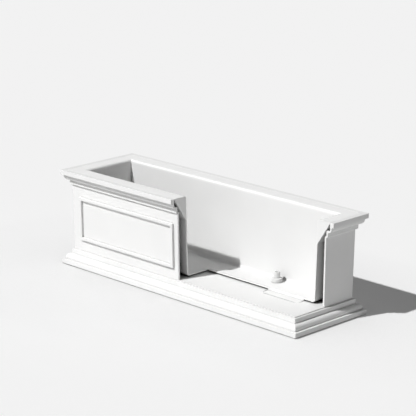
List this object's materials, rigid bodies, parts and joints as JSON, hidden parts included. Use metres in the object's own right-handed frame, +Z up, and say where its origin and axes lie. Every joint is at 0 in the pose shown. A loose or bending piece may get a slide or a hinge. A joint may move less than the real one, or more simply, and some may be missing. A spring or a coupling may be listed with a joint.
{
  "type": "window box planter",
  "caption": "Window box planter with a stepped crown and base moulding, a lift-out liner and an overflow plug, its front right quarter cut away to show the double wall.",
  "frame": {"origin": "on the ground, in the middle of the plinth's footprint", "axes": "+X along the length to the right as seen from the front, -Y towards the front with the panel frames, +Z up"},
  "size_m": [0.914, 0.278, 0.278],
  "materials": {
    "shell_plastic": "satin white, moulded",
    "liner_plastic": "satin white, moulded",
    "plug_plastic": "satin white, moulded",
    "seal_rubber": "matt pale rubber"
  },
  "bodies": {
    "shell": {"outer_shell": "shell_plastic"},
    "liner": {"inner_liner": "liner_plastic"},
    "plug": {"overflow_plug": "plug_plastic", "plug_seal": "seal_rubber"}
  },
  "joints": [
    {"name": "liner_lift", "type": "slide", "parent": "shell", "child": "liner", "axis": [0, 0, 1], "range_m": [0, 0.3]},
    {"name": "plug_pull", "type": "slide", "parent": "liner", "child": "plug", "axis": [0, 0, 1], "range_m": [0, 0.05]}
  ]
}
